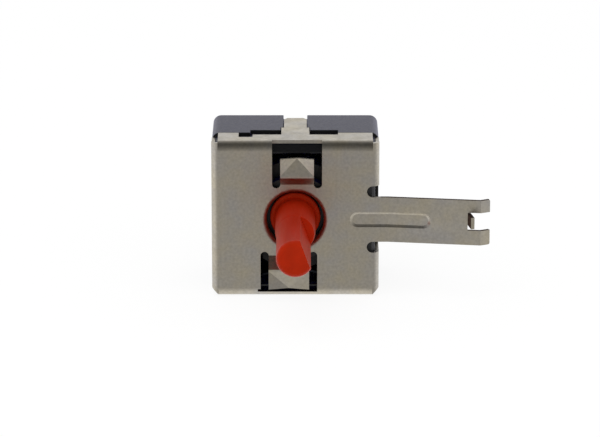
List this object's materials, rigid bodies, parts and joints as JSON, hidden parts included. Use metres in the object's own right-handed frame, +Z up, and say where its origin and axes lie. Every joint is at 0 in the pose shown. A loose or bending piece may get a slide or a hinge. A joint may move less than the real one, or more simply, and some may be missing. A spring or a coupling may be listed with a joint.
{
  "type": "rotary selector switch",
  "caption": "Rotary selector switch with a D-cut shaft, sheet-metal mounting plate with twist-lock tongues and a locating arm, moulded housing and push-on terminals.",
  "frame": {"origin": "on the shaft's axis in the plane of the mounting plate's front face", "axes": "-Y out along the shaft towards the user, +Y into the panel and towards the terminals, +X to the user's right along the locating arm, +Z up"},
  "size_m": [0.0474, 0.0486, 0.0274],
  "materials": {
    "plate_steel": "zinc-plated sheet steel, satin",
    "housing_plastic": "moulded black thermoset, satin",
    "shaft_plastic": "moulded brick-red plastic, satin",
    "spring_steel": "bright spring steel",
    "terminal_brass": "tinned brass, satin",
    "contact_brass": "bright brass strip",
    "contact_silver": null
  },
  "bodies": {
    "frame": {"mounting_plate": "plate_steel", "housing": "housing_plastic", "thrust_washer": "plate_steel", "detent_spring": "spring_steel", "common_ring": "contact_silver", "terminal_common": "terminal_brass", "terminal_1": "terminal_brass", "terminal_2": "terminal_brass", "terminal_3": "terminal_brass", "terminal_4": "terminal_brass", "contact_1": "contact_silver", "contact_2": "contact_silver", "contact_3": "contact_silver", "contact_4": "contact_silver"},
    "rotor": {"shaft": "shaft_plastic", "cam_drum": "housing_plastic", "retaining_clip": "spring_steel", "contact_spring": "spring_steel", "contact_bridge": "contact_brass", "bridge_contact": "contact_silver"}
  },
  "joints": [
    {"name": "rotor_turn", "type": "hinge", "parent": "frame", "child": "rotor", "pos_m": [0, 0, 0], "axis": [0, -1, 0], "range_deg": [0, 135], "deforming": ["detent_spring"]}
  ]
}
